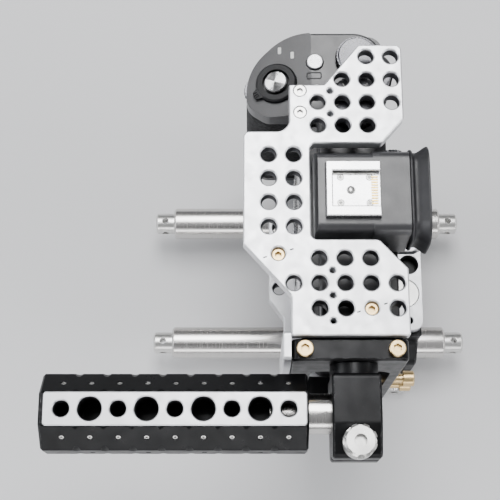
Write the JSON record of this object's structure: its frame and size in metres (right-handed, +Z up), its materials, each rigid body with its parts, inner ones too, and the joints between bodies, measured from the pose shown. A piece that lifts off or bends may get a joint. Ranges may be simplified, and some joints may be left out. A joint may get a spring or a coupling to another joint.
{
  "type": "cinema camera rig",
  "caption": "Mirrorless camera in a perforated cage on a rod clamp block with two 15 mm rods, and a swivelling cheese-plate handle at its left side.",
  "frame": {"origin": "mouth of the 3/8-16 tripod thread, in the middle of the rod block's flat underside", "axes": "+Z up, the lens mount faces -Y along the rods, +X to the camera's left, which is the handle's side; the camera's hand grip is at -X"},
  "size_m": [0.1726, 0.1777, 0.1642],
  "materials": {
    "black_anodised": "bead-blasted black anodised aluminium",
    "clear_anodised": "bead-blasted clear anodised aluminium",
    "rod_steel": "turned stainless steel",
    "screw_steel": "turned steel",
    "brass": "machined brass",
    "camera_paint": "fine-grained black paint",
    "grip_rubber": "leather-grained rubber",
    "soft_rubber": "smooth soft rubber",
    "black_plastic": "matt moulded plastic",
    "button_metal": "spun aluminium",
    "mount_steel": "lapped steel bayonet",
    "glass_coated": "coated optical glass",
    "sensor": "sensor cover glass, interference tint",
    "gold": "gold-plated contacts",
    "board": "circuit board lacquer"
  },
  "bodies": {
    "rig": {"rod_block": "black_anodised", "cheese_plate_right": "clear_anodised", "cheese_plate_left": "clear_anodised", "block_screws": "screw_steel", "cage_bottom_plate": "clear_anodised", "cage_side_plate": "black_anodised", "cage_top_plate": "clear_anodised", "cage_front_post": "clear_anodised", "cage_screws": "screw_steel", "cage_brass_screws": "brass", "front_shell": "camera_paint", "rear_shell": "camera_paint", "top_cover": "camera_paint", "bottom_cover": "camera_paint", "grip_rubber": "grip_rubber", "lens_mount": "mount_steel", "mount_screws": "screw_steel", "mount_throat": "black_plastic", "mount_contacts": "gold", "image_sensor": "sensor", "sensor_unit": "black_plastic", "main_board": "board", "battery": "black_plastic", "hot_shoe": "mount_steel", "viewfinder_housing": "camera_paint", "viewfinder_lens": "glass_coated", "eyecup": "soft_rubber"},
    "rod_right": {"rod_right": "rod_steel", "rod_plugs_right": "screw_steel"},
    "rod_left": {"rod_left": "rod_steel", "rod_plugs_left": "screw_steel"},
    "jaw_screw_right_front": {"thumbscrew_right_front": "screw_steel"},
    "jaw_screw_right_rear": {"thumbscrew_right_rear": "screw_steel"},
    "jaw_screw_left_front": {"thumbscrew_left_front": "screw_steel"},
    "jaw_screw_left_rear": {"thumbscrew_left_rear": "screw_steel"},
    "handle_clamp": {"handle_clamp": "black_anodised"},
    "handle": {"handle_body": "black_anodised", "handle_cheese_bar": "clear_anodised", "handle_rod": "rod_steel"},
    "clamp_screw": {"handle_thumbscrew": "screw_steel"},
    "screen_arm": {"screen_arm": "black_anodised"},
    "screen": {"screen_panel": "black_plastic", "screen_glass": "glass_coated"},
    "shutter_button": {"shutter_button": "button_metal"},
    "power_ring": {"power_ring": "black_plastic"},
    "mode_dial": {"mode_dial": "button_metal"},
    "exposure_dial": {"exposure_dial": "button_metal"},
    "front_dial": {"front_dial": "button_metal"},
    "rear_dial": {"rear_dial": "button_metal"},
    "control_wheel": {"control_wheel": "black_plastic"},
    "centre_button": {"centre_button": "black_plastic"},
    "menu_button": {"menu_button": "black_plastic"},
    "playback_button": {"playback_button": "black_plastic"},
    "c1_button": {"c1_button": "black_plastic"},
    "c2_button": {"c2_button": "black_plastic"},
    "lens_release_button": {"lens_release_button": "black_plastic"},
    "diopter_wheel": {"diopter_wheel": "black_plastic"},
    "battery_door": {"battery_door": "black_plastic"},
    "card_door": {"card_door": "black_plastic"},
    "port_door": {"port_door": "soft_rubber"}
  },
  "joints": [
    {"name": "rod_right_slide", "type": "slide", "parent": "rig", "child": "rod_right", "axis": [0, 1, 0], "range_m": [-0.012, 0.065]},
    {"name": "rod_left_slide", "type": "slide", "parent": "rig", "child": "rod_left", "axis": [0, 1, 0], "range_m": [-0.012, 0.065]},
    {"name": "jaw_screw_right_front_turn", "type": "hinge", "parent": "rig", "child": "jaw_screw_right_front", "pos_m": [-0.045, -0.013, 0.0065], "axis": [-1, 0, 0], "range_deg": [0, 540]},
    {"name": "jaw_screw_right_rear_turn", "type": "hinge", "parent": "rig", "child": "jaw_screw_right_rear", "pos_m": [-0.045, 0.013, 0.0065], "axis": [-1, 0, 0], "range_deg": [0, 540]},
    {"name": "jaw_screw_left_front_turn", "type": "hinge", "parent": "rig", "child": "jaw_screw_left_front", "pos_m": [0.045, -0.013, 0.0065], "axis": [1, 0, 0], "range_deg": [0, 540]},
    {"name": "jaw_screw_left_rear_turn", "type": "hinge", "parent": "rig", "child": "jaw_screw_left_rear", "pos_m": [0.045, 0.013, 0.0065], "axis": [1, 0, 0], "range_deg": [0, 540]},
    {"name": "handle_swivel", "type": "hinge", "parent": "rig", "child": "handle_clamp", "pos_m": [0.066, -0.018, 0.142], "axis": [1, 0, 0], "range_deg": [-90, 180]},
    {"name": "handle_roll", "type": "hinge", "parent": "handle_clamp", "child": "handle", "pos_m": [0.082, -0.048, 0.142], "axis": [0, 1, 0], "range_deg": [-180, 180]},
    {"name": "clamp_screw_turn", "type": "hinge", "parent": "handle_clamp", "child": "clamp_screw", "pos_m": [0.0942, -0.018, 0.155], "axis": [0, 0, 1], "range_deg": [0, 540]},
    {"name": "shutter_press", "type": "slide", "parent": "rig", "child": "shutter_button", "axis": [0, -0.1908, 0.9816], "range_m": [-0.001, 0], "stiffness_N_per_m": 400},
    {"name": "power_ring_turn", "type": "hinge", "parent": "rig", "child": "power_ring", "pos_m": [-0.0512, -0.046, 0.13928], "axis": [0, -0.1908, 0.9816], "range_deg": [0, 35]},
    {"name": "c1_press", "type": "slide", "parent": "rig", "child": "c1_button", "axis": [0, 0, 1], "range_m": [-0.0008, 0]},
    {"name": "c2_press", "type": "slide", "parent": "rig", "child": "c2_button", "axis": [0, 0, 1], "range_m": [-0.0008, 0]},
    {"name": "mode_dial_turn", "type": "hinge", "parent": "rig", "child": "mode_dial", "pos_m": [-0.0405, -0.0154, 0.142], "axis": [0, 0, 1], "continuous": true},
    {"name": "exposure_dial_turn", "type": "hinge", "parent": "rig", "child": "exposure_dial", "pos_m": [-0.0606, -0.0138, 0.142], "axis": [0, 0, 1], "range_deg": [-135, 135]},
    {"name": "front_dial_turn", "type": "hinge", "parent": "rig", "child": "front_dial", "pos_m": [-0.05, -0.053, 0.134], "axis": [0, 0, 1], "continuous": true},
    {"name": "rear_dial_turn", "type": "hinge", "parent": "rig", "child": "rear_dial", "pos_m": [-0.058, -0.0062, 0.132], "axis": [0, 0, 1], "continuous": true},
    {"name": "control_wheel_turn", "type": "hinge", "parent": "rig", "child": "control_wheel", "pos_m": [-0.0455, -0.003, 0.096], "axis": [0, 1, 0], "continuous": true},
    {"name": "centre_press", "type": "slide", "parent": "rig", "child": "centre_button", "axis": [0, 1, 0], "range_m": [-0.0008, 0]},
    {"name": "menu_press", "type": "slide", "parent": "rig", "child": "menu_button", "axis": [0, 1, 0], "range_m": [-0.0006, 0]},
    {"name": "playback_press", "type": "slide", "parent": "rig", "child": "playback_button", "axis": [0, 1, 0], "range_m": [-0.0006, 0]},
    {"name": "lens_release_press", "type": "slide", "parent": "rig", "child": "lens_release_button", "axis": [0, 1, 0], "range_m": [0, 0.0008]},
    {"name": "diopter_turn", "type": "hinge", "parent": "rig", "child": "diopter_wheel", "pos_m": [-0.017, -0.0017, 0.1475], "axis": [1, 0, 0], "range_deg": [-140, 140]},
    {"name": "screen_arm_swing", "type": "hinge", "parent": "rig", "child": "screen_arm", "pos_m": [0.012, -0.0054, 0.072], "axis": [1, 0, 0], "range_deg": [-41, 0]},
    {"name": "screen_tilt", "type": "hinge", "parent": "screen_arm", "child": "screen", "pos_m": [0.012, -0.0054, 0.1223], "axis": [1, 0, 0], "range_deg": [0, 27]},
    {"name": "battery_door_hinge", "type": "hinge", "parent": "rig", "child": "battery_door", "pos_m": [-0.0413, -0.0385, 0.0641], "axis": [0, 1, 0], "range_deg": [-85, 0]},
    {"name": "card_door_hinge", "type": "hinge", "parent": "rig", "child": "card_door", "pos_m": [-0.0714, -0.022, 0.101], "axis": [0, 0, 1], "range_deg": [0, 95]},
    {"name": "port_door_hinge", "type": "hinge", "parent": "rig", "child": "port_door", "pos_m": [0.0546, -0.0296, 0.102], "axis": [0, 0, 1], "range_deg": [-90, 0]}
  ]
}
